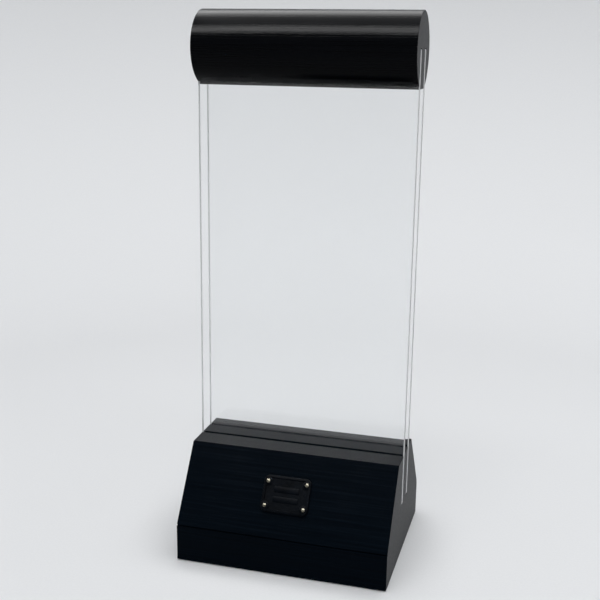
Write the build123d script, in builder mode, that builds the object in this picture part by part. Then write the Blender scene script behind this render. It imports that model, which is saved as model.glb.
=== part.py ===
from build123d import *
import os

os.makedirs("parts", exist_ok=True)

# An open display stand. A sloped block carries two upright clear panels in slots, and a
# slotted round bar caps them. X runs along the stand, -Y is its front and +Z is up. The
# origin is the middle of the footprint, on the surface that the feet stand on.

# Driving dimensions, in millimetres
STAND_LENGTH = 100.5  # the base, the panels and the bar end flush with each other
BASE_DEPTH = 82.3
BASE_HEIGHT = 51.0  # underside to top face
PLINTH_HEIGHT = 17.6  # upright band below the slopes
FRONT_LEDGE = 11.5  # top face in front of the front slot
BACK_LEDGE = 7.4  # top face behind the back slot
BASE_EDGE_FILLET = 0.4

PANEL_THICKNESS = 3.0
PANEL_HEIGHT = 209.5
PANEL_GAP = 9.0  # clear space between the two panels
PANEL_SETBACK = 0.85  # the gap's middle, behind the footprint's middle
PANEL_EDGE_CHAMFER = 0.2
SLOT_DEPTH = 24.7
SLOT_CLEARANCE = 0.1  # on each side of a panel, in the base and in the bar
RELIEF_WIDTH = 1.8  # shallow groove along each slot's floor, under the panel
RELIEF_DEPTH = 0.7

BAR_RADIUS = 16.8
BAR_FLAT_DROP = 16.3  # the bar's axis down to its flat underside
BAR_SLOT_DEPTH = 17.2  # flat underside up to the slots' ceilings
BAR_HEADROOM = 0.4  # panel tops up to the slots' ceilings
BAR_EDGE_CHAMFER = 0.2

BADGE_WIDTH = 22.5
BADGE_HEIGHT = 17.2
BADGE_THICKNESS = 1.6
BADGE_CORNER = 2.6
BADGE_RIM = 1.2
BADGE_RELIEF = 0.5  # depth of the sunk field around the raised bars
BADGE_FIELD_CORNER = 1.0
BOSS_RADIUS = 2.0  # round pads that the pins go through
BAR_MARK_WIDTH = 12.0
BAR_MARK_HEIGHT = 2.6
BAR_MARK_PITCH = 4.6

PIN_SPACING_X = 18.6
PIN_SPACING_Y = 11.4
PIN_SHANK_RADIUS = 0.5
PIN_HEAD_RADIUS = 0.95
PIN_HEAD_HEIGHT = 0.6
PIN_DEPTH = 5.0  # into the base
PIN_CLEARANCE = 0.05

FOOT_RADIUS = 5.0
FOOT_THICKNESS = 2.0
FOOT_STAND_OFF = 0.5  # how far a foot holds the base off the surface
FOOT_INSET = 12.0  # foot centre to the base's edges
FOOT_CLEARANCE = 0.3

# Levels and places that follow from them
base_bottom = FOOT_STAND_OFF
base_top = base_bottom + BASE_HEIGHT
knee_z = base_bottom + PLINTH_HEIGHT
slot_floor = base_top - SLOT_DEPTH
panel_top = slot_floor + PANEL_HEIGHT
bar_slot_ceiling = panel_top + BAR_HEADROOM
bar_flat_z = bar_slot_ceiling - BAR_SLOT_DEPTH
bar_axis_z = bar_flat_z + BAR_FLAT_DROP

panel_pitch = PANEL_GAP + PANEL_THICKNESS
front_panel_y = PANEL_SETBACK - panel_pitch / 2
back_panel_y = PANEL_SETBACK + panel_pitch / 2
slot_width = PANEL_THICKNESS + 2 * SLOT_CLEARANCE
top_front_y = front_panel_y - slot_width / 2 - FRONT_LEDGE
top_back_y = back_panel_y + slot_width / 2 + BACK_LEDGE

# The front slope's plane: its x runs along the stand and its y up the slope
slope_run = top_front_y + BASE_DEPTH / 2
slope_rise = base_top - knee_z
slope_middle = ((top_front_y - BASE_DEPTH / 2) / 2, (knee_z + base_top) / 2)
slope = Plane(
    origin=(0, slope_middle[0], slope_middle[1]),
    x_dir=(1, 0, 0),
    z_dir=(0, -slope_rise, slope_run),
)

foot_spacing_x = STAND_LENGTH - 2 * FOOT_INSET
foot_spacing_y = BASE_DEPTH - 2 * FOOT_INSET
foot_recess_depth = FOOT_THICKNESS - FOOT_STAND_OFF
foot_places = {
    "foot_front_left": (-foot_spacing_x / 2, -foot_spacing_y / 2),
    "foot_front_right": (foot_spacing_x / 2, -foot_spacing_y / 2),
    "foot_back_left": (-foot_spacing_x / 2, foot_spacing_y / 2),
    "foot_back_right": (foot_spacing_x / 2, foot_spacing_y / 2),
}


def finish(piece, name):
    """Label a finished piece and write its STEP file."""
    piece.label = name
    export_step(piece, f"parts/{name}.step")


# Base: one block, extruded along X, with two relieved through slots, foot recesses and
# pin holes
with BuildPart() as base_body:
    with BuildSketch(Plane.YZ):
        with BuildLine():
            Polyline(
                (-BASE_DEPTH / 2, base_bottom),
                (BASE_DEPTH / 2, base_bottom),
                (BASE_DEPTH / 2, knee_z),
                (top_back_y, base_top),
                (top_front_y, base_top),
                (-BASE_DEPTH / 2, knee_z),
                close=True,
            )
        make_face()
        upper_corners = vertices().filter_by(lambda corner: corner.Y > base_bottom)
        fillet(upper_corners, radius=BASE_EDGE_FILLET)
    extrude(amount=STAND_LENGTH / 2, both=True)
    with BuildSketch(Plane.XY.offset(base_top)):
        with Locations((0, front_panel_y), (0, back_panel_y)):
            Rectangle(STAND_LENGTH, slot_width)
    extrude(amount=-SLOT_DEPTH, mode=Mode.SUBTRACT)
    with BuildSketch(Plane.XY.offset(slot_floor)):
        with Locations((0, front_panel_y), (0, back_panel_y)):
            Rectangle(STAND_LENGTH, RELIEF_WIDTH)
    extrude(amount=-RELIEF_DEPTH, mode=Mode.SUBTRACT)
    with BuildSketch(Plane.XY.offset(base_bottom)):
        with Locations(*foot_places.values()):
            Circle(FOOT_RADIUS + FOOT_CLEARANCE)
    extrude(amount=foot_recess_depth, mode=Mode.SUBTRACT)
    with BuildSketch(slope):
        with GridLocations(PIN_SPACING_X, PIN_SPACING_Y, 2, 2):
            Circle(PIN_SHANK_RADIUS + PIN_CLEARANCE)
    extrude(amount=-(PIN_DEPTH + PIN_CLEARANCE), mode=Mode.SUBTRACT)
finish(base_body.part, "base_body")

# Panels: flat clear sheets with lightly broken edges, standing on the slots' floors
with BuildPart() as front_panel:
    with BuildSketch(Plane.XY.offset(slot_floor)):
        with Locations((0, front_panel_y)):
            Rectangle(STAND_LENGTH, PANEL_THICKNESS)
    extrude(amount=PANEL_HEIGHT)
    chamfer(edges().filter_by(Axis.Y, reverse=True), length=PANEL_EDGE_CHAMFER)
finish(front_panel.part, "front_panel")

with BuildPart() as back_panel:
    with BuildSketch(Plane.XY.offset(slot_floor)):
        with Locations((0, back_panel_y)):
            Rectangle(STAND_LENGTH, PANEL_THICKNESS)
    extrude(amount=PANEL_HEIGHT)
    chamfer(edges().filter_by(Axis.Y, reverse=True), length=PANEL_EDGE_CHAMFER)
finish(back_panel.part, "back_panel")

# Top bar: a round bar with a flat underside and two slots that take the panels' tops
with BuildPart() as top_bar:
    with BuildSketch(Plane.YZ):
        with Locations((PANEL_SETBACK, bar_axis_z)):
            Circle(BAR_RADIUS)
        with Locations((PANEL_SETBACK, bar_flat_z)):
            Rectangle(2 * BAR_RADIUS, BAR_RADIUS, align=(Align.CENTER, Align.MAX), mode=Mode.SUBTRACT)
    extrude(amount=STAND_LENGTH / 2, both=True)
    chamfer(faces().filter_by(Axis.X).edges(), length=BAR_EDGE_CHAMFER)
    with BuildSketch(Plane.XY.offset(bar_slot_ceiling)):
        with Locations((0, front_panel_y), (0, back_panel_y)):
            Rectangle(STAND_LENGTH, slot_width)
    extrude(amount=-2 * BAR_RADIUS, mode=Mode.SUBTRACT)
finish(top_bar.part, "top_bar")

# Badge: a small plate on the front slope, with a rim, pin bosses and two plain bars
with BuildPart() as badge_plate:
    with BuildSketch(slope):
        RectangleRounded(BADGE_WIDTH, BADGE_HEIGHT, BADGE_CORNER)
        with GridLocations(PIN_SPACING_X, PIN_SPACING_Y, 2, 2):
            Circle(PIN_SHANK_RADIUS + PIN_CLEARANCE, mode=Mode.SUBTRACT)
    extrude(amount=BADGE_THICKNESS)
    with BuildSketch(slope.offset(BADGE_THICKNESS)):
        RectangleRounded(
            BADGE_WIDTH - 2 * BADGE_RIM, BADGE_HEIGHT - 2 * BADGE_RIM, BADGE_FIELD_CORNER
        )
        with GridLocations(PIN_SPACING_X, PIN_SPACING_Y, 2, 2):
            Circle(BOSS_RADIUS, mode=Mode.SUBTRACT)
        with GridLocations(0, BAR_MARK_PITCH, 1, 2):
            Rectangle(BAR_MARK_WIDTH, BAR_MARK_HEIGHT, mode=Mode.SUBTRACT)
    extrude(amount=-BADGE_RELIEF, mode=Mode.SUBTRACT)
finish(badge_plate.part, "badge_plate")

# Pins: four small domed brass nails that hold the badge to the base
with BuildPart() as badge_pins:
    with BuildSketch(slope.offset(BADGE_THICKNESS)):
        with GridLocations(PIN_SPACING_X, PIN_SPACING_Y, 2, 2):
            Circle(PIN_SHANK_RADIUS)
    extrude(amount=-(BADGE_THICKNESS + PIN_DEPTH))
    with BuildSketch(slope.offset(BADGE_THICKNESS)):
        with GridLocations(PIN_SPACING_X, PIN_SPACING_Y, 2, 2):
            Circle(PIN_HEAD_RADIUS)
    extrude(amount=PIN_HEAD_HEIGHT)
    slope_normal = Axis(slope.origin, slope.z_dir)
    head_rims = edges().filter_by(GeomType.CIRCLE).group_by(slope_normal)[-1]
    fillet(head_rims, radius=0.8 * PIN_HEAD_HEIGHT)
finish(badge_pins.part, "badge_pins")

# Feet: four soft pads in the underside's recesses
for foot_name, foot_place in foot_places.items():
    with BuildPart() as foot:
        with BuildSketch(Plane.XY):
            with Locations(foot_place):
                Circle(FOOT_RADIUS)
        extrude(amount=FOOT_THICKNESS)
    finish(foot.part, foot_name)
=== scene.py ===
import math
import random

import bmesh
import bpy
from mathutils import Matrix, Vector
from mathutils.geometry import delaunay_2d_cdt


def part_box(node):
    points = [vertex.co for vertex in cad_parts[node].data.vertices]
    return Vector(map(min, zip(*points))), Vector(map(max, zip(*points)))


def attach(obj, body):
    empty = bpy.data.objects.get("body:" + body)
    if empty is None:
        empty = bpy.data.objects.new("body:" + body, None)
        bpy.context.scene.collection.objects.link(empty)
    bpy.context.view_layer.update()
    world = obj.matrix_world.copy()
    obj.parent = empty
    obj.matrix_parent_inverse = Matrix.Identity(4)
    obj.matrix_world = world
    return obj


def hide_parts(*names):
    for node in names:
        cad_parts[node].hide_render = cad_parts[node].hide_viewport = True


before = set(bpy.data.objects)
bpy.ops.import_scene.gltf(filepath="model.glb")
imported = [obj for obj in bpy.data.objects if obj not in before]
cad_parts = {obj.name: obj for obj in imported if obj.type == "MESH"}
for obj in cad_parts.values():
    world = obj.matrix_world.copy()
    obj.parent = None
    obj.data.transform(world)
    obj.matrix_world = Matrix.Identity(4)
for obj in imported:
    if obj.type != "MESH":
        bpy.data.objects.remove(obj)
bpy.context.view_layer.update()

MM = 0.001
random.seed(7)


# ---------------------------------------------------------------- sizes read from the frame

base_lo, base_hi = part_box("base_body")
front_lo, front_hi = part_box("front_panel")
back_lo, back_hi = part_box("back_panel")
bar_lo, bar_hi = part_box("top_bar")
badge_lo, badge_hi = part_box("badge_plate")

FRONT, BACK, TOP, BOTTOM = base_lo.y, base_hi.y, base_hi.z, base_lo.z
half_length = base_hi.x
bar_radius = (bar_hi.y - bar_lo.y) / 2
bar_axis = Vector((0, (bar_hi.y + bar_lo.y) / 2, bar_hi.z - bar_radius))
slot_floor = front_lo.z

# The panels' slots
SLOT_GAP = 0.1 * MM  # between a panel's face and its slot's wall
BAR_HEADROOM = 0.4 * MM  # the panels' tops up to the ceilings of the bar's slots
PANEL_EDGE_BREAK = 0.2 * MM

# The base's section
PLINTH_HEIGHT = 17.6 * MM
FRONT_LEDGE = 11.5 * MM
BACK_LEDGE = 7.4 * MM
RELIEF_WIDTH = 1.8 * MM
RELIEF_DEPTH = 0.7 * MM
KNEE_GROOVE_LIP = 0.42 * MM
KNEE_GROOVE_DEPTH = 0.9 * MM
TOP_ROUND = 0.3 * MM
knee_z = base_lo.z + PLINTH_HEIGHT
top_front_y = front_lo.y - SLOT_GAP - FRONT_LEDGE
top_back_y = back_hi.y + SLOT_GAP + BACK_LEDGE

# Printed surface: beads of plastic laid along X
BEAD_PITCH = 0.28 * MM
BEAD_DEPTH = 0.007 * MM
BEAD_WANDER = 0.004 * MM
BEAD_STEPS = (0.12, 0.5, 0.88)
EDGE_ROUND = 0.2 * MM
# Steps round an end's edge: in from the end and in from the outline, as shares of EDGE_ROUND
EDGE_STEPS = ((0.0, 1.0), (0.13, 0.5), (0.5, 0.13), (1.0, 0.0))
TOP_FACE_REACH = 0.05 * MM  # how far below the highest point a top face's middle may lie
SIDE_SLOT, END_SLOT, TOP_SLOT = 0, 1, 2  # a print's material slots

# Badge
BADGE_WIDTH = 22.5 * MM
BADGE_HEIGHT = 17.2 * MM
BADGE_THICKNESS = 1.6 * MM
BADGE_CORNER = 2.6 * MM
BADGE_RIM = 1.2 * MM
BADGE_FIELD_CORNER = 1.4 * MM
BADGE_RELIEF = 0.5 * MM
BADGE_EDGE = 0.35 * MM
BADGE_FINE_EDGE = 0.1 * MM
BADGE_INNER_EDGE = 0.08 * MM
BOSS_RADIUS = 2.0 * MM
BOSS_POINTS = 24
BOSS_DROP = 0.02 * MM  # below the rim
MARK_WIDTH = 12 * MM
MARK_HEIGHT = 2.6 * MM
MARK_CORNER = 0.5 * MM
MARK_OFFSET = 2.3 * MM
MARK_DROP = 0.01 * MM  # below the rim
PAD_EDGE = 0.2 * MM
PAD_ROOT = 0.05 * MM  # how far a raised pad reaches into the plate
PIN_SPACING_X = 18.6 * MM
PIN_SPACING_Y = 11.4 * MM
PIN_HEAD_RADIUS = 0.95 * MM
PIN_HEAD_HEIGHT = 0.6 * MM
PIN_SHANK_RADIUS = 0.5 * MM
PIN_SHANK_DEPTH = 1.2 * MM
PIN_POINTS = 28
PIN_DOME_STEPS = 8

# Studio, with lengths in metres
FLOOR_RADII = (0.0, 0.03, 0.06, 0.1, 0.15, 0.2, 0.28, 0.36)
SWEEP_RISE = 0.4
SWEEP_WALL_HEIGHT = 1.5
SWEEP_RISE_STEPS = 36
SWEEP_POINTS = 96


# ---------------------------------------------------------------- materials


class Nodes:
    """A small helper that adds linked nodes to one material."""

    def __init__(self, name):
        self.material = bpy.data.materials.new(name)
        self.material.use_nodes = True
        self.tree = self.material.node_tree
        self.shader = self.tree.nodes["Principled BSDF"]
        self.position = self.add("ShaderNodeTexCoord").outputs["Object"]

    def add(self, kind):
        return self.tree.nodes.new(kind)

    def link(self, out, into):
        self.tree.links.new(out, into)

    def drive(self, socket, out):
        """Link an output to one of the shader's own sockets."""
        self.link(out, self.shader.inputs[socket])

    def stretched(self, scale):
        """Object coordinates, in metres, multiplied by scale along each axis."""
        mapping = self.add("ShaderNodeMapping")
        mapping.inputs["Scale"].default_value = scale
        self.link(self.position, mapping.inputs["Vector"])
        return mapping.outputs["Vector"]

    def noise(self, scale, detail=4.0, roughness=0.55):
        """Noise from 0 to 1, with scale features per metre along each axis."""
        node = self.add("ShaderNodeTexNoise")
        node.inputs["Scale"].default_value = 1.0
        node.inputs["Detail"].default_value = detail
        node.inputs["Roughness"].default_value = roughness
        self.link(self.stretched(scale), node.inputs["Vector"])
        return node.outputs["Fac"]

    def spread(self, value, low, high, to_low, to_high):
        """value from low..high to to_low..to_high, clamped."""
        node = self.add("ShaderNodeMapRange")
        self.link(value, node.inputs["Value"])
        for key, number in (
            ("From Min", low),
            ("From Max", high),
            ("To Min", to_low),
            ("To Max", to_high),
        ):
            node.inputs[key].default_value = number
        return node.outputs["Result"]

    def ramp(self, value, *stops):
        """A colour from value, with (place, colour) stops."""
        node = self.add("ShaderNodeValToRGB")
        elements = node.color_ramp.elements
        while len(elements) < len(stops):
            elements.new(0.5)
        for element, (place, colour) in zip(elements, stops):
            element.position = place
            element.color = (*colour, 1.0)
        self.link(value, node.inputs["Fac"])
        return node.outputs["Color"]

    def bump(self, height, distance, strength=1.0, onto=None):
        """Normals from a height, distance in metres, laid over another bump if there is one."""
        node = self.add("ShaderNodeBump")
        node.inputs["Strength"].default_value = strength
        node.inputs["Distance"].default_value = distance
        self.link(height, node.inputs["Height"])
        if onto is not None:
            self.link(onto, node.inputs["Normal"])
        return node.outputs["Normal"]

    def set(self, **values):
        """Constants on the shader's own sockets, with underscores for spaces."""
        for key, value in values.items():
            self.shader.inputs[key.replace("_", " ")].default_value = value


NOISE_LOW, NOISE_HIGH = 0.3, 0.7  # where most of a noise's values lie
ACRYLIC_IOR = 1.49


def scaled(tint, factor):
    """The same hue, darker or lighter."""
    return tuple(factor * c for c in tint)


def printed_plastic(name, tint, roughness, gloss, relief):
    """Satin black printed plastic: streaks along the beads, cloudy gloss and fine grain.

    relief is the depth of the streaks and of the grain, in metres.
    """
    m = Nodes(name)
    m.set(Specular_IOR_Level=gloss)
    streaks = m.noise((22.0, 1300.0, 1300.0), detail=5.0)
    clouds = m.noise((60.0, 60.0, 60.0), detail=3.0)
    grain = m.noise((700.0, 1700.0, 1700.0), detail=3.0)
    dark = scaled(tint, 0.75)
    light = scaled(tint, 1.35)
    m.drive("Base Color", m.ramp(streaks, (NOISE_LOW, dark), (NOISE_HIGH, light)))
    mixed = m.add("ShaderNodeMath")
    mixed.operation = "ADD"
    m.link(m.spread(streaks, NOISE_LOW, NOISE_HIGH, -0.05, 0.05), mixed.inputs[0])
    cloudy = m.spread(clouds, NOISE_LOW, NOISE_HIGH, roughness - 0.03, roughness + 0.03)
    m.link(cloudy, mixed.inputs[1])
    m.drive("Roughness", mixed.outputs[0])
    lines = m.bump(streaks, relief)
    m.drive("Normal", m.bump(grain, relief, onto=lines))
    return m.material


def printed_end(name, tint, roughness, gloss):
    """The ends of a print, where the beads turn: coarser and speckled; their paler tint is
    painted light.
    """
    m = Nodes(name)
    m.set(Specular_IOR_Level=gloss)
    speckle = m.noise((800.0, 800.0, 900.0), detail=3.0, roughness=0.65)
    layers = m.noise((60.0, 60.0, 3000.0), detail=2.0)
    dark = scaled(tint, 0.5)
    light = scaled(tint, 1.8)
    m.drive("Base Color", m.ramp(speckle, (0.38, dark), (0.62, light)))
    uneven = m.spread(speckle, NOISE_LOW, NOISE_HIGH, roughness - 0.08, roughness + 0.1)
    m.drive("Roughness", uneven)
    ridges = m.bump(layers, 0.02 * MM, 0.5)
    m.drive("Normal", m.bump(speckle, 0.08 * MM, 0.8, onto=ridges))
    return m.material


def printed_top(name, tint, roughness, gloss):
    """The top face of a print: closely laid beads with a fine even grain; its paler tint is
    painted sheen.
    """
    m = Nodes(name)
    m.set(Specular_IOR_Level=gloss)
    grain = m.noise((1300.0, 1500.0, 1500.0), detail=3.0, roughness=0.65)
    beads = m.noise((40.0, 1100.0, 1100.0), detail=3.0)
    dark = scaled(tint, 0.5)
    light = scaled(tint, 1.7)
    m.drive("Base Color", m.ramp(grain, (NOISE_LOW, dark), (NOISE_HIGH, light)))
    uneven = m.spread(grain, NOISE_LOW, NOISE_HIGH, roughness - 0.06, roughness + 0.06)
    m.drive("Roughness", uneven)
    lines = m.bump(beads, 0.006 * MM)
    m.drive("Normal", m.bump(grain, 0.012 * MM, onto=lines))
    return m.material


def clear_acrylic(name, roughness, tint):
    """Clear cast sheet with the faintest unevenness in its polish."""
    m = Nodes(name)
    m.set(Transmission_Weight=1.0, IOR=ACRYLIC_IOR)
    m.shader.inputs["Base Color"].default_value = (*tint, 1.0)
    wipe = m.noise((40.0, 40.0, 14.0), detail=4.0)
    m.drive("Roughness", m.spread(wipe, 0.5, 0.8, roughness, roughness + 0.004))
    return m.material


def cut_acrylic(name, tint):
    """The sawn and polished edge of the sheet, with fine marks across it; its pale scattering
    face is partly the real cut and partly painted light for light carried through the sheet.
    """
    m = Nodes(name)
    # Low transmission and a near-white colour: partly a frosted cut, partly painted light.
    m.set(Transmission_Weight=0.35, IOR=ACRYLIC_IOR)
    m.shader.inputs["Base Color"].default_value = (*tint, 1.0)
    marks = m.noise((1200.0, 60.0, 1200.0), detail=3.0)
    m.drive("Roughness", m.spread(marks, NOISE_LOW, NOISE_HIGH, 0.05, 0.16))
    m.drive("Normal", m.bump(marks, 0.01 * MM, 0.4))
    return m.material


def moulded_plate(name, tint):
    """Satin black plate with a fine even grain and rubbed high spots."""
    m = Nodes(name)
    m.set(Specular_IOR_Level=0.02)
    grain = m.noise((800.0, 800.0, 800.0), detail=3.0, roughness=0.65)
    rub = m.noise((160.0, 160.0, 160.0), detail=3.0)
    dark = scaled(tint, 0.7)
    light = scaled(tint, 1.5)
    m.drive("Base Color", m.ramp(rub, (0.35, dark), (NOISE_HIGH, light)))
    m.drive("Roughness", m.spread(grain, NOISE_LOW, NOISE_HIGH, 0.34, 0.5))
    m.drive("Normal", m.bump(grain, 0.12 * MM))
    return m.material


def dull_brass(name):
    """Dull pale brass, with a little uneven polish."""
    m = Nodes(name)
    m.set(Metallic=1.0)
    wear = m.noise((900.0, 900.0, 900.0), detail=3.0)
    dark = (0.1, 0.092, 0.07)
    light = (0.2, 0.188, 0.15)
    m.drive("Base Color", m.ramp(wear, (NOISE_LOW, dark), (NOISE_HIGH, light)))
    m.drive("Roughness", m.spread(wear, NOISE_LOW, NOISE_HIGH, 0.24, 0.38))
    return m.material


def soft_rubber(name):
    """Matte black rubber with a fine grain."""
    m = Nodes(name)
    grain = m.noise((1400.0, 1400.0, 1400.0), detail=3.0)
    dark = (0.012, 0.012, 0.012)
    light = (0.03, 0.03, 0.03)
    m.drive("Base Color", m.ramp(grain, (NOISE_LOW, dark), (NOISE_HIGH, light)))
    m.drive("Roughness", m.spread(grain, NOISE_LOW, NOISE_HIGH, 0.7, 0.9))
    m.drive("Normal", m.bump(grain, 0.05 * MM, 0.6))
    return m.material


BASE_TINT = (0.0009, 0.0025, 0.0047)
BAR_TINT = (0.0008, 0.0011, 0.0018)
# The ends' pale tint is painted light: the brightness the ends catch is put into their colour.
END_PAINTED_LIGHT_TINT = (0.020, 0.021, 0.023)
# The top faces' paler tint is painted sheen; their finer grain and finish are real.
TOP_PAINTED_SHEEN_TINT = (0.0046, 0.0056, 0.0068)
base_plastic = printed_plastic("base_plastic", BASE_TINT, 0.25, 0.018, 0.03 * MM)
bar_plastic = printed_plastic("bar_plastic", BAR_TINT, 0.16, 0.042, 0.028 * MM)
end_plastic_painted_light = printed_end("end_plastic_painted_light", END_PAINTED_LIGHT_TINT, 0.5, 0.14)
top_plastic_painted_sheen = printed_top("top_plastic_painted_sheen", TOP_PAINTED_SHEEN_TINT, 0.36, 0.062)
sheet_acrylic = clear_acrylic("sheet_acrylic", 0.0, (0.985, 0.99, 0.992))
edge_acrylic_frosted_painted_glow = cut_acrylic("edge_acrylic_frosted_painted_glow", (0.96, 0.97, 0.97))
plate_plastic = moulded_plate("plate_plastic", (0.0016, 0.0024, 0.0038))
pin_brass = dull_brass("pin_brass")
foot_rubber = soft_rubber("foot_rubber")


# ---------------------------------------------------------------- mesh helpers


def bridge(bm, loops):
    """Walls between each closed loop of vertices and the next."""
    count = len(loops[0])
    for first, second in zip(loops, loops[1:]):
        for i in range(count):
            j = (i + 1) % count
            bm.faces.new((first[i], first[j], second[j], second[i]))


def mesh_object(name, bm, materials):
    """An object made from bm, which is used up."""
    bmesh.ops.recalc_face_normals(bm, faces=bm.faces)
    mesh = bpy.data.meshes.new(name)
    bm.to_mesh(mesh)
    bm.free()
    for material in materials:
        mesh.materials.append(material)
    obj = bpy.data.objects.new(name, mesh)
    bpy.context.scene.collection.objects.link(obj)
    return obj


def smooth(obj, angle, flat=()):
    """Smooth shading, with edges sharper than angle, in degrees, kept crisp.

    Faces whose material index is in flat keep one normal all over.
    """
    obj.data.shade_smooth()
    obj.data.set_sharp_from_angle(angle=math.radians(angle))
    for face in obj.data.polygons:
        if face.material_index in flat:
            face.use_smooth = False


def bead_sink(step):
    """How far a bead's surface lies below its crown; step runs from 0 to 1 across the bead."""
    crown = 1 - (2 * step - 1) ** 2
    return BEAD_DEPTH * (1 - crown)


def beaded(start, end, beads, wander):
    """Points from start towards end, end left out, in shallow beads.

    The print lies to the right of the run, so beads sink to the right of its direction.
    wander has one extra sink for each bead.
    """
    run = end - start
    inward = Vector((run.y, -run.x)).normalized()
    points = [start]
    for bead in range(beads):
        for step in BEAD_STEPS:
            sink = bead_sink(step) + wander[bead]
            points.append(start + run * ((bead + step) / beads) + inward * sink)
        if bead < beads - 1:
            joint = start + run * ((bead + 1) / beads)
            points.append(joint + inward * (BEAD_DEPTH + wander[bead]))
    return points


def bead_plan(length):
    """How many beads fit a length, and how far each one sinks."""
    beads = max(1, round(length / BEAD_PITCH))
    return beads, [random.uniform(0, BEAD_WANDER) for _ in range(beads)]


def inset_corners(corners, distance):
    """The corners of a loop, drawn with its inside on the right, moved inward by distance."""
    moved = []
    count = len(corners)
    for i, p in enumerate(corners):
        before = (p - corners[i - 1]).normalized()
        after = (corners[(i + 1) % count] - p).normalized()
        first = Vector((before.y, -before.x))
        second = Vector((after.y, -after.x))
        moved.append(p + (first + second) * (distance / (1 + first.dot(second))))
    return moved


def arc(centre, radius, first, last, steps):
    """Points on an arc from angle first to last, in degrees, both ends included."""
    angles = [math.radians(first + (last - first) * i / steps) for i in range(steps + 1)]
    return [centre + Vector((math.cos(a), math.sin(a))) * radius for a in angles]


def fill_cap(bm, loop, outline):
    """Triangles inside an outline, on the loop of vertices that it became."""
    count = len(outline)
    edges = [(i, (i + 1) % count) for i in range(count)]
    made = delaunay_2d_cdt(outline, edges, [], 1, 1e-9)
    triangles, sources = made[2], made[3]
    for triangle in triangles:
        cap = bm.faces.new([loop[sources[corner][0]] for corner in triangle])
        cap.material_index = END_SLOT


def printed_bar(name, section, materials):
    """A print extruded along X, with rounded end edges; its ends take the second material.

    A third material, if there is one, goes on the faces at its very top.

    section(inset) gives its outline in Y and Z, pulled in by inset, with its inside on the
    right and always with the same number of points.
    """
    r = EDGE_ROUND
    rings = [(half_length - along * r, inward * r) for along, inward in EDGE_STEPS]
    stations = rings + [(-x, inset) for x, inset in reversed(rings)]
    bm = bmesh.new()
    loops = []
    for x, inset in stations:
        loops.append([bm.verts.new((x, p.x, p.y)) for p in section(inset)])
    bridge(bm, loops)
    for loop in (loops[0], loops[-1]):
        fill_cap(bm, loop, section(r))
    bm.normal_update()
    if len(materials) > TOP_SLOT:
        highest = max(v.co.z for v in bm.verts)
        for face in bm.faces:
            at_top = face.calc_center_median().z > highest - TOP_FACE_REACH
            level = abs(face.normal.z) > 0.9
            if face.material_index == SIDE_SLOT and at_top and level:
                face.material_index = TOP_SLOT
    obj = mesh_object(name, bm, materials)
    smooth(obj, 25, flat=(END_SLOT,))
    return obj


# ---------------------------------------------------------------- base


def slot_notch(lo, hi):
    """A slot's corners from its front rim down, along its relieved floor and up again."""
    front_wall = lo.y - SLOT_GAP
    back_wall = hi.y + SLOT_GAP
    middle = (front_wall + back_wall) / 2
    left, right = middle - RELIEF_WIDTH / 2, middle + RELIEF_WIDTH / 2
    deep = slot_floor - RELIEF_DEPTH
    corners = [
        (front_wall, TOP),
        (front_wall, slot_floor),
        (left, slot_floor),
        (left, deep),
        (right, deep),
        (right, slot_floor),
        (back_wall, slot_floor),
        (back_wall, TOP),
    ]
    return [Vector(corner) for corner in corners]


front_slope = Vector((top_front_y - FRONT, TOP - knee_z))
back_slope = Vector((top_back_y - BACK, TOP - knee_z))
front_lean = front_slope.normalized()
back_lean = back_slope.normalized()
band_plan = bead_plan(PLINTH_HEIGHT - KNEE_GROOVE_LIP)
front_plan = bead_plan(front_slope.length - TOP_ROUND)
back_plan = bead_plan(back_slope.length - TOP_ROUND)
ledge_plans = [
    bead_plan(FRONT_LEDGE - TOP_ROUND),
    bead_plan(back_lo.y - front_hi.y),
    bead_plan(BACK_LEDGE - TOP_ROUND),
]


def knee(y, lean, inward):
    """The corners of the narrow groove between the upright band and a slope."""
    return [
        Vector((y, knee_z - KNEE_GROOVE_LIP)),
        Vector((y + inward * KNEE_GROOVE_DEPTH, knee_z - KNEE_GROOVE_LIP)),
        Vector((y + inward * KNEE_GROOVE_DEPTH, knee_z)),
        Vector((y, knee_z)) + lean * KNEE_GROOVE_LIP,
    ]


def top_round(y, lean, inward):
    """The corners of a rounded edge between a slope and the top face."""
    return [
        Vector((y, TOP)) - lean * TOP_ROUND,
        Vector((y + inward * 0.1 * TOP_ROUND, TOP - 0.35 * TOP_ROUND)),
        Vector((y + inward * TOP_ROUND, TOP)),
    ]


def base_section(inset):
    """The base's outline: up the front, over the top with its slots, and down the back."""
    runs = [
        ([Vector((FRONT, BOTTOM))], band_plan),
        (knee(FRONT, front_lean, 1), front_plan),
        (top_round(top_front_y, front_lean, 1), ledge_plans[0]),
        (slot_notch(front_lo, front_hi), ledge_plans[1]),
        (slot_notch(back_lo, back_hi), ledge_plans[2]),
        (top_round(top_back_y, back_lean, -1)[::-1], back_plan),
        (knee(BACK, back_lean, -1)[::-1], band_plan),
        ([Vector((BACK, BOTTOM))], None),
    ]
    corners = []
    beaded_after = {}
    for stretch, plan in runs:
        corners += stretch
        beaded_after[len(corners) - 1] = plan
    corners = inset_corners(corners, inset)
    points = []
    for i, corner in enumerate(corners):
        if beaded_after.get(i):
            points += beaded(corner, corners[i + 1], *beaded_after[i])
        else:
            points.append(corner)
    return points


# Its ends and top faces take paler materials: painted light and painted sheen.
base = printed_bar("base_print", base_section, [base_plastic, end_plastic_painted_light, top_plastic_painted_sheen])
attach(base, "base")
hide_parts("base_body")


# ---------------------------------------------------------------- top bar


bar_plan = bead_plan(2 * math.pi * bar_radius - (back_hi.y - front_lo.y))


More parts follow.
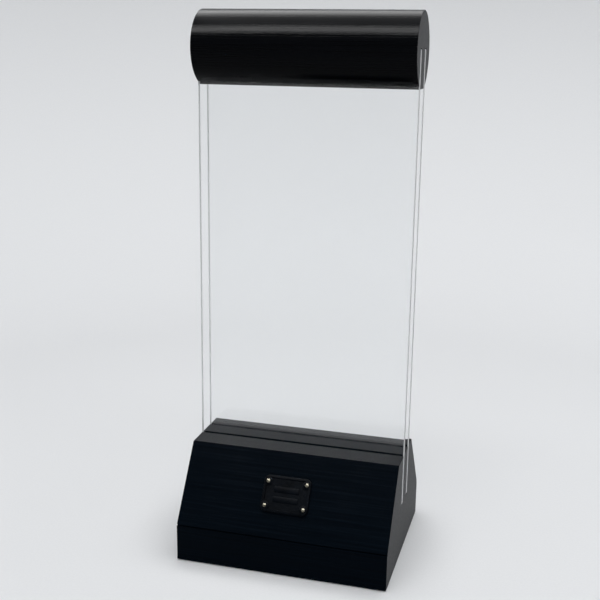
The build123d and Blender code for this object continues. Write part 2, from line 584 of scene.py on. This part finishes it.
def bar_section(inset):
    """The bar's outline: from its front lobe over the top, then back along the slots."""
    radius = bar_radius - inset
    ceiling = front_hi.z + BAR_HEADROOM + inset
    flat = bar_lo.z + inset
    walls = [front_lo.y - SLOT_GAP - inset, front_hi.y + SLOT_GAP + inset]
    walls += [back_lo.y - SLOT_GAP - inset, back_hi.y + SLOT_GAP + inset]
    reach = walls[3] - bar_axis.y
    tip = math.degrees(math.asin(reach / radius))
    first, last = 270 - tip, -90 + tip
    beads, wander = bar_plan
    centre = Vector((bar_axis.y, bar_axis.z))
    points = []
    for bead in range(beads):
        for step in (0.0, *BEAD_STEPS):
            sink = bead_sink(step) + wander[bead]
            angle = math.radians(first + (last - first) * (bead + step) / beads)
            points.append(centre + Vector((math.cos(angle), math.sin(angle))) * (radius - sink))
    points.append(Vector((walls[3], bar_axis.z - math.sqrt(radius**2 - reach**2))))
    corners = [
        (walls[3], ceiling),
        (walls[2], ceiling),
        (walls[2], flat),
        (walls[1], flat),
        (walls[1], ceiling),
        (walls[0], ceiling),
    ]
    return points + [Vector(corner) for corner in corners]


bar = printed_bar("bar_print", bar_section, [bar_plastic, end_plastic_painted_light])
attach(bar, "cap_bar")
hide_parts("top_bar")


# ---------------------------------------------------------------- clear panels


def panel_piece(node, body):
    """A clear sheet with broken edges; its cut edges take the second material."""
    lo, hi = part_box(node)
    bm = bmesh.new()
    bmesh.ops.create_cube(bm, size=1.0)
    size = hi - lo
    middle = (hi + lo) / 2
    for v in bm.verts:
        v.co = Vector(a * b for a, b in zip(v.co, size)) + middle
    outline = [e for e in bm.edges if abs(e.verts[0].co.y - e.verts[1].co.y) < 1e-6]
    bmesh.ops.bevel(
        bm, geom=outline, offset=PANEL_EDGE_BREAK, segments=2, affect="EDGES", profile=0.6
    )
    bm.normal_update()
    for f in bm.faces:
        f.material_index = 0 if abs(f.normal.y) > 0.99 else 1
    obj = mesh_object(node + "_sheet", bm, [sheet_acrylic, edge_acrylic_frosted_painted_glow])
    smooth(obj, 20, flat=(0,))
    obj.visible_shadow = False
    obj.visible_diffuse = False
    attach(obj, body)
    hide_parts(node)


panel_piece("front_panel", "front_sheet")
panel_piece("back_panel", "back_sheet")


# ---------------------------------------------------------------- badge and pins

slope_rise = base_hi.z - knee_z
slope_run = top_front_y - base_lo.y
slope_normal = Vector((0, -slope_rise, slope_run)).normalized()
slope_up = Vector((0, slope_run, slope_rise)).normalized()
slope_middle = Vector((0, (top_front_y + base_lo.y) / 2, (base_hi.z + knee_z) / 2))
slope_frame = Matrix(
    (
        (1, 0, 0, slope_middle.x),
        (0, slope_up.y, slope_normal.y, slope_middle.y),
        (0, slope_up.z, slope_normal.z, slope_middle.z),
        (0, 0, 0, 1),
    )
)


def rounded_outline(width, height, radius, steps=6):
    """Anticlockwise points of a rounded rectangle about the origin."""
    points = []
    for sx, sy, turn in ((1, 1, 0), (-1, 1, 90), (-1, -1, 180), (1, -1, 270)):
        centre = Vector((sx * (width / 2 - radius), sy * (height / 2 - radius)))
        points += arc(centre, radius, turn, turn + 90, steps)
    return points


def raised_pad(bm, outline, bottom, top, edge):
    """A closed pad between two heights, with a rounded top edge."""
    levels = [(bottom, 0.0), (top - edge, 0.0), (top - 0.3 * edge, 0.3 * edge), (top, edge)]
    loops = []
    for height, inset in levels:
        ring = inset_corners(outline[::-1], inset)
        loops.append([bm.verts.new((p.x, p.y, height)) for p in ring])
    bridge(bm, loops)
    bm.faces.new(loops[0])
    bm.faces.new(loops[-1])


def pin_places():
    """The four pins' middles on the badge."""
    return [
        Vector((sx * PIN_SPACING_X / 2, sy * PIN_SPACING_Y / 2))
        for sx in (-1, 1)
        for sy in (-1, 1)
    ]


def badge_piece():
    """The plate: a body, a raised rim, four pin bosses and two plain raised bars."""
    field = BADGE_THICKNESS - BADGE_RELIEF
    bm = bmesh.new()
    outer = rounded_outline(BADGE_WIDTH, BADGE_HEIGHT, BADGE_CORNER)
    inner_width, inner_height = BADGE_WIDTH - 2 * BADGE_RIM, BADGE_HEIGHT - 2 * BADGE_RIM
    inner = rounded_outline(inner_width, inner_height, BADGE_FIELD_CORNER)
    levels = [
        (outer, 0.0, 0.0),
        (outer, BADGE_THICKNESS - BADGE_EDGE, 0.0),
        (outer, BADGE_THICKNESS - BADGE_FINE_EDGE, BADGE_FINE_EDGE),
        (outer, BADGE_THICKNESS, BADGE_EDGE),
        (inner, BADGE_THICKNESS, -BADGE_FINE_EDGE),
        (inner, BADGE_THICKNESS - BADGE_INNER_EDGE, 0.0),
        (inner, field, BADGE_FINE_EDGE),
    ]
    loops = []
    for outline, height, inset in levels:
        ring = inset_corners(outline[::-1], inset)
        loops.append([bm.verts.new((p.x, p.y, height)) for p in ring])
    bridge(bm, loops)
    bm.faces.new(loops[0])
    bm.faces.new(loops[-1])
    for place in pin_places():
        boss = arc(place, BOSS_RADIUS, 0, 360 - 360 / BOSS_POINTS, BOSS_POINTS - 1)
        raised_pad(bm, boss, field - PAD_ROOT, BADGE_THICKNESS - BOSS_DROP, PAD_EDGE)
    for sy in (-1, 1):
        middle = Vector((0, sy * MARK_OFFSET))
        mark = [middle + p for p in rounded_outline(MARK_WIDTH, MARK_HEIGHT, MARK_CORNER, 3)]
        raised_pad(bm, mark, field - PAD_ROOT, BADGE_THICKNESS - MARK_DROP, PAD_EDGE)
    bm.transform(slope_frame)
    obj = mesh_object("badge_relief", bm, [plate_plastic])
    smooth(obj, 35)
    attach(obj, "base")
    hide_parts("badge_plate")


def pin_piece():
    """Four domed heads on short shanks."""
    bm = bmesh.new()
    around = PIN_POINTS
    for place in pin_places():
        profile = [(PIN_SHANK_RADIUS, -PIN_SHANK_DEPTH), (PIN_SHANK_RADIUS, 0.0)]
        profile.append((PIN_HEAD_RADIUS, 0.0))
        for i in range(1, PIN_DOME_STEPS):
            a = math.radians(90 * i / PIN_DOME_STEPS)
            profile.append((PIN_HEAD_RADIUS * math.cos(a), PIN_HEAD_HEIGHT * math.sin(a)))
        rings = []
        for radius, height in profile:
            ring = []
            for k in range(around):
                a = 2 * math.pi * k / around
                spot = place + Vector((math.cos(a), math.sin(a))) * radius
                ring.append(bm.verts.new((spot.x, spot.y, BADGE_THICKNESS + height)))
            rings.append(ring)
        bridge(bm, rings)
        bm.faces.new(rings[0])
        crown = bm.verts.new((place.x, place.y, BADGE_THICKNESS + PIN_HEAD_HEIGHT))
        for k in range(around):
            bm.faces.new((rings[-1][k], rings[-1][(k + 1) % around], crown))
    bm.transform(slope_frame)
    obj = mesh_object("pin_heads", bm, [pin_brass])
    smooth(obj, 50)
    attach(obj, "base")
    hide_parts("badge_pins")


badge_piece()
pin_piece()

for node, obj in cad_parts.items():
    if node.startswith("foot_"):
        obj.data.materials.clear()
        obj.data.materials.append(foot_rubber)


# ---------------------------------------------------------------- studio


PAPER_DARK = (0.775, 0.785, 0.795)
PAPER_LIGHT = (0.795, 0.805, 0.815)


def sweep_material():
    """Plain pale paper, one tone all over, with a faint grain."""
    m = Nodes("sweep_paper")
    m.set(Specular_IOR_Level=0.0)
    grain = m.noise((900.0, 900.0, 900.0), detail=2.0)
    m.drive("Base Color", m.ramp(grain, (NOISE_LOW, PAPER_DARK), (NOISE_HIGH, PAPER_LIGHT)))
    m.drive("Roughness", m.spread(grain, NOISE_LOW, NOISE_HIGH, 0.85, 0.95))
    return m.material


def paper_sweep():
    """A round sweep: floor, a curved rise and a wall, all about the stand.

    It casts no shadow and bounces no light onto the stand.
    """
    flat_radius = FLOOR_RADII[-1]
    profile = [(r, 0.0) for r in FLOOR_RADII]
    for i in range(1, SWEEP_RISE_STEPS + 1):
        a = math.radians(90 * i / SWEEP_RISE_STEPS)
        profile.append((flat_radius + SWEEP_RISE * math.sin(a), SWEEP_RISE * (1 - math.cos(a))))
    profile.append((flat_radius + SWEEP_RISE, SWEEP_WALL_HEIGHT))
    around = SWEEP_POINTS
    bm = bmesh.new()
    for (r0, z0), (r1, z1) in zip(profile, profile[1:]):
        for k in range(around):
            a0, a1 = 2 * math.pi * k / around, 2 * math.pi * (k + 1) / around
            corners = [(r0, z0, a0), (r1, z1, a0), (r1, z1, a1), (r0, z0, a1)]
            if r0 == 0.0:
                corners = corners[:3]
            spots = [(r * math.cos(a), r * math.sin(a), z) for r, z, a in corners]
            bm.faces.new([bm.verts.new(spot) for spot in spots])
    bmesh.ops.remove_doubles(bm, verts=bm.verts, dist=1e-6)
    obj = mesh_object("sweep", bm, [sweep_material()])
    obj.data.shade_smooth()
    obj.visible_shadow = False
    obj.visible_diffuse = False


def soft_light(name, place, aim, width, height, radiance):
    """A rectangular light at a place, turned to its aim."""
    data = bpy.data.lights.new(name, "AREA")
    data.shape = "RECTANGLE"
    data.size, data.size_y = width, height
    data.energy = radiance * math.pi * width * height
    obj = bpy.data.objects.new(name, data)
    obj.location = place
    obj.rotation_euler = (Vector(aim) - Vector(place)).to_track_quat("-Z", "Y").to_euler()
    bpy.context.scene.collection.objects.link(obj)
    return obj


def polar(elevation, distance, from_point):
    """A place at distance from a point, elevation degrees up from the front, over the top."""
    a = math.radians(elevation)
    return Vector(from_point) + Vector((0, -math.cos(a), math.sin(a))) * distance


paper_sweep()
# Two strips, aimed at the bar, that add highlights and no diffuse light
key_place = polar(57, 0.5, bar_axis)
key = soft_light("key_strip", key_place, bar_axis, width=1.4, height=0.155, radiance=21.0)
back_place = polar(128, 0.75, bar_axis)
back = soft_light("back_strip", back_place, bar_axis, width=1.4, height=0.4, radiance=5.5)
for strip in (key, back):
    strip.visible_diffuse = False
soft_light("ceiling", (0.1, 0.1, 1.3), (0.1, 0.1, 0), width=1.6, height=1.6, radiance=2.7)
# A fill that adds diffuse light and no highlights
fill = soft_light("front_fill", (0, -1.2, 0.3), (0, 0, 0.1), width=1.0, height=0.6, radiance=4.0)
fill.visible_glossy = False

world = bpy.data.worlds.new("studio_world")
bpy.context.scene.world = world
world.use_nodes = True
world.node_tree.nodes["Background"].inputs["Color"].default_value = (0.03, 0.036, 0.048, 1)
world.node_tree.nodes["Background"].inputs["Strength"].default_value = 1.0


# ---------------------------------------------------------------- camera

CAMERA_PLACE = Vector((0.117685, -0.438882, 0.239486))
CAMERA_YAW, CAMERA_PITCH, CAMERA_ROLL = 15.366, 14.585, 0.798  # degrees
CAMERA_LENS = 59.98

yaw, pitch, roll = (math.radians(a) for a in (CAMERA_YAW, CAMERA_PITCH, CAMERA_ROLL))
level = math.cos(pitch)
forward = Vector((-math.sin(yaw) * level, math.cos(yaw) * level, -math.sin(pitch)))
side = forward.cross(Vector((0, 0, 1))).normalized()
up = side.cross(forward)
camera_x = side * math.cos(roll) + up * math.sin(roll)
camera_y = up * math.cos(roll) - side * math.sin(roll)
camera_data = bpy.data.cameras.new("camera")
camera_data.sensor_width = 36
camera_data.lens = CAMERA_LENS
camera_data.clip_start = 0.01
camera_data.clip_end = 20
camera = bpy.data.objects.new("camera", camera_data)
turn = Matrix((camera_x, camera_y, -forward)).transposed()
camera.matrix_world = Matrix.Translation(CAMERA_PLACE) @ turn.to_4x4()
bpy.context.scene.collection.objects.link(camera)
bpy.context.scene.camera = camera
bpy.context.scene.view_settings.view_transform = "Standard"
